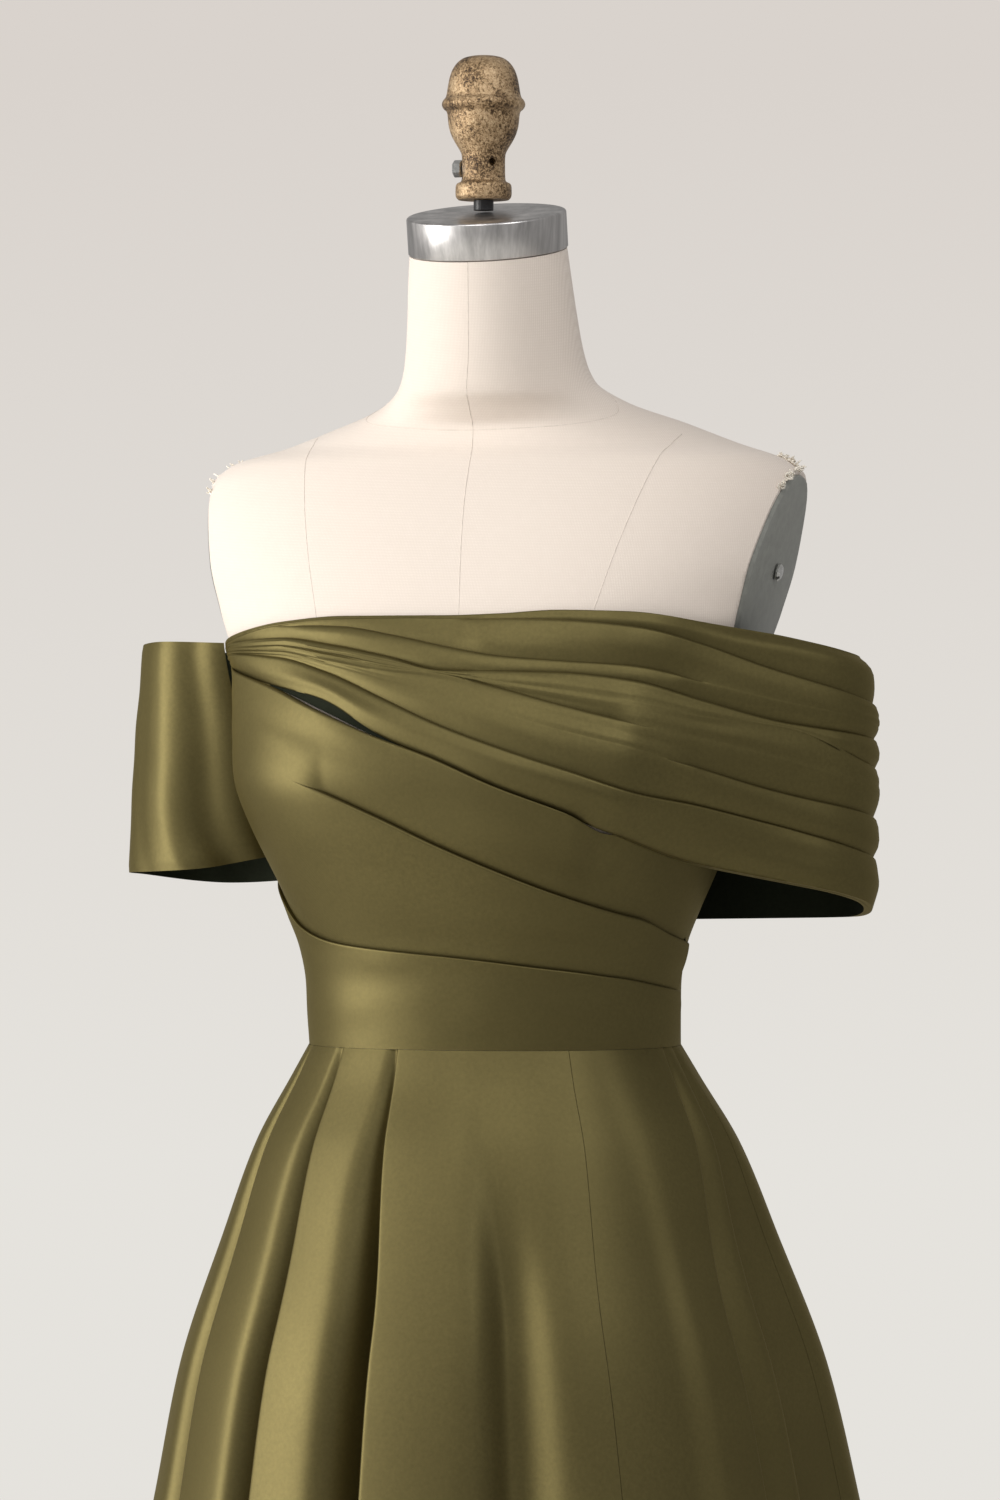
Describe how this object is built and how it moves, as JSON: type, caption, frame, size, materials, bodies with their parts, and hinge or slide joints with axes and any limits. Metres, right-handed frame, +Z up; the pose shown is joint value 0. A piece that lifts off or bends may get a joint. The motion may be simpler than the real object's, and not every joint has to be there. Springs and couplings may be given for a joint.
{
  "type": "off-shoulder dress on a dress form",
  "caption": "Floor-length off-shoulder satin dress with a diagonally pleated drape that runs on into a wide sleeve band, worn by a limbless dress form on a round base.",
  "frame": {"origin": "on the floor, at the centre of the stand's base and on its pole's axis", "axes": "+Z up, the form's front faces -Y, the form's left side is +X"},
  "size_m": [0.7483, 0.7136, 1.6935],
  "materials": {
    "olive_satin": "smooth satin sheen",
    "cream_linen": "plain woven cover",
    "brushed_steel": "fine brushed",
    "grey_plate": "flat grey",
    "aged_gold_paint": "worn, speckled gold",
    "black_steel": "satin black",
    "zip_metal": "polished nickel"
  },
  "bodies": {
    "dress_and_form": {"upper_drape": "olive_satin", "bodice_front": "olive_satin", "waist_panel_front": "olive_satin", "bodice_back_left": "olive_satin", "bodice_back_right": "olive_satin", "sleeve_right": "olive_satin", "skirt_front_right": "olive_satin", "skirt_front_left": "olive_satin", "skirt_back_left": "olive_satin", "skirt_back_right": "olive_satin", "zip_slider": "zip_metal", "form_torso": "cream_linen", "arm_plate_left": "grey_plate", "arm_plate_right": "grey_plate", "arm_plate_screw_left": "brushed_steel", "arm_plate_screw_right": "brushed_steel", "neck_cap": "brushed_steel", "neck_rod": "black_steel", "finial": "aged_gold_paint", "set_screw": "brushed_steel", "stand_pole": "brushed_steel", "stand_base": "black_steel"},
    "zip_pull": {"zip_pull": "zip_metal"}
  },
  "joints": [
    {"name": "zip_pull_hinge", "type": "hinge", "parent": "dress_and_form", "child": "zip_pull", "pos_m": [0, 0.1386, 1.303], "axis": [1, 0, 0], "range_deg": [0, 140]}
  ]
}
